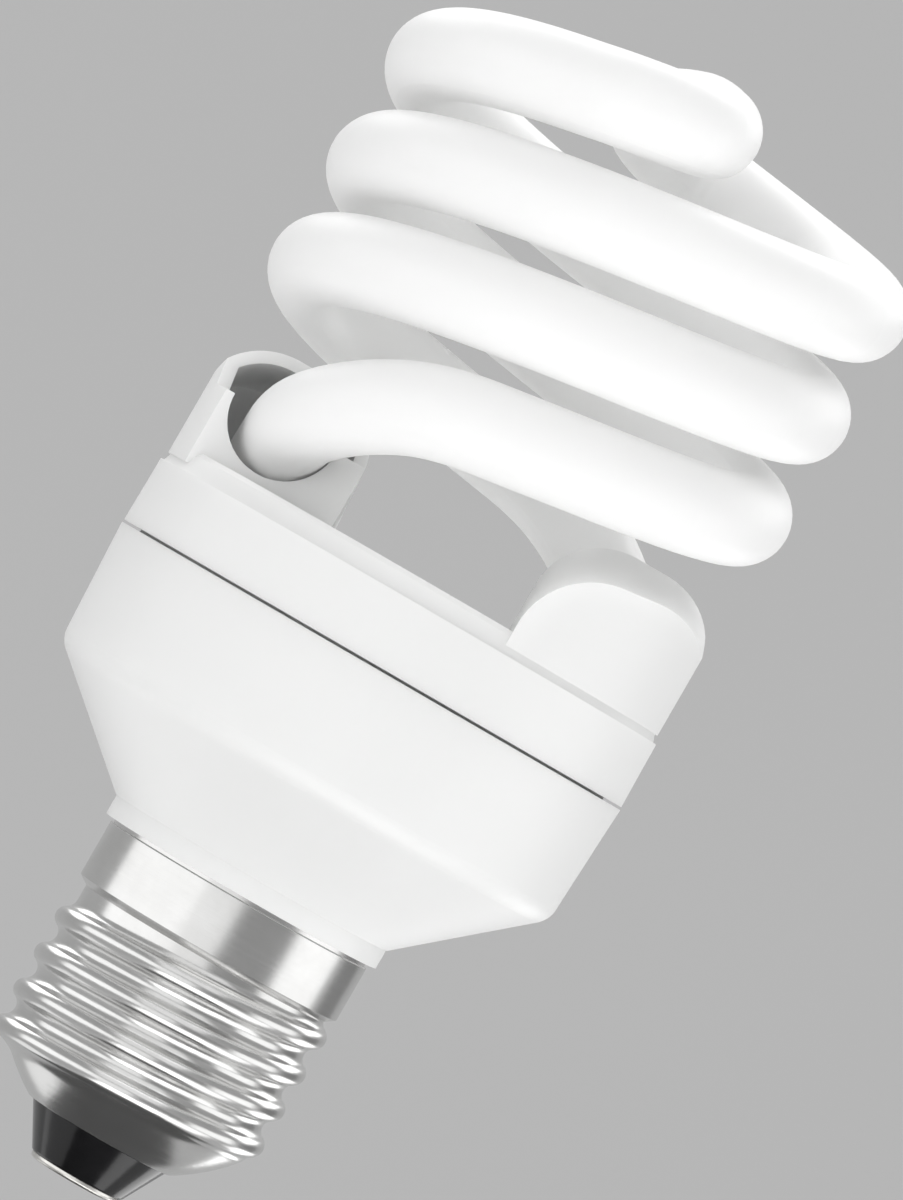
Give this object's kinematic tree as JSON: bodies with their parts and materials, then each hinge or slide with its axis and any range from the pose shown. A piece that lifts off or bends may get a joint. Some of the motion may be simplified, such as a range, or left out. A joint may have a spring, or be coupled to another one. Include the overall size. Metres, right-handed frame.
{
  "type": "compact fluorescent lamp",
  "caption": "Compact fluorescent lamp: milky double spiral tube on a white ballast housing with hooded tube seats and a metal screw cap.",
  "frame": {"origin": "lamp axis at the underside of the cap's centre contact", "axes": "+Z along the lamp's axis from the cap to the closed top of the spiral, +X through the hood on the right of the picture, +Y away from the viewer"},
  "size_m": [0.052, 0.0519, 0.1119],
  "materials": {
    "cap_contact": "bright tinned metal",
    "cap_insulator": "black glass, glossy",
    "cap_shell": "nickel plated, bright",
    "white_plastic": "smooth moulded, semi-gloss",
    "tube_glass": "phosphor-coated inside, milky white, opaque",
    "cement": "set cement, matt",
    "board": "paper laminate",
    "ferrite": "ferrite, matt dark grey",
    "winding": "enamelled copper wire",
    "bobbin": "black moulded",
    "sleeve": "shrunk sleeve, dark blue",
    "film_body": "dipped, brown-red",
    "black_body": "black moulding compound",
    "diode_glass": "blue coated glass",
    "resistor_body": "beige lacquer",
    "fuse_body": "grey-blue lacquer",
    "thermistor_body": "dark green lacquer",
    "tinned_wire": "tinned",
    "nickel_wire": "nickel wire",
    "insulated_wire": "white sleeve"
  },
  "bodies": {
    "root": {"cap_insulator": "cap_insulator", "centre_contact": "cap_contact", "choke_bobbin": "bobbin", "choke_core": "ferrite", "choke_winding": "winding", "circuit_board": "board", "contact_wire": "insulated_wire", "filament_wire_1": "nickel_wire", "filament_wire_2": "nickel_wire", "filament_wire_3": "nickel_wire", "filament_wire_4": "nickel_wire", "film_capacitor_1": "film_body", "film_capacitor_2": "film_body", "filter_inductor_core": "ferrite", "filter_inductor_winding": "winding", "fusible_resistor": "fuse_body", "lower_housing": "white_plastic", "rectifier_diode_1": "black_body", "rectifier_diode_2": "black_body", "rectifier_diode_3": "black_body", "rectifier_diode_4": "black_body", "resistor_1": "resistor_body", "resistor_2": "resistor_body", "resistor_3": "resistor_body", "resistor_4": "resistor_body", "resistor_5": "resistor_body", "screw_shell": "cap_shell", "shell_wire": "insulated_wire", "smoothing_capacitor": "sleeve", "spiral_tube": "tube_glass", "start_thermistor": "thermistor_body", "switching_transistor_1": "black_body", "switching_transistor_2": "black_body", "transformer_ring": "ferrite", "transformer_windings": "insulated_wire", "trigger_diode": "diode_glass", "tube_cement_left": "cement", "tube_cement_right": "cement", "upper_cover": "white_plastic", "wrap_pin_1": "tinned_wire", "wrap_pin_2": "tinned_wire", "wrap_pin_3": "tinned_wire", "wrap_pin_4": "tinned_wire"}
  },
  "joints": []
}
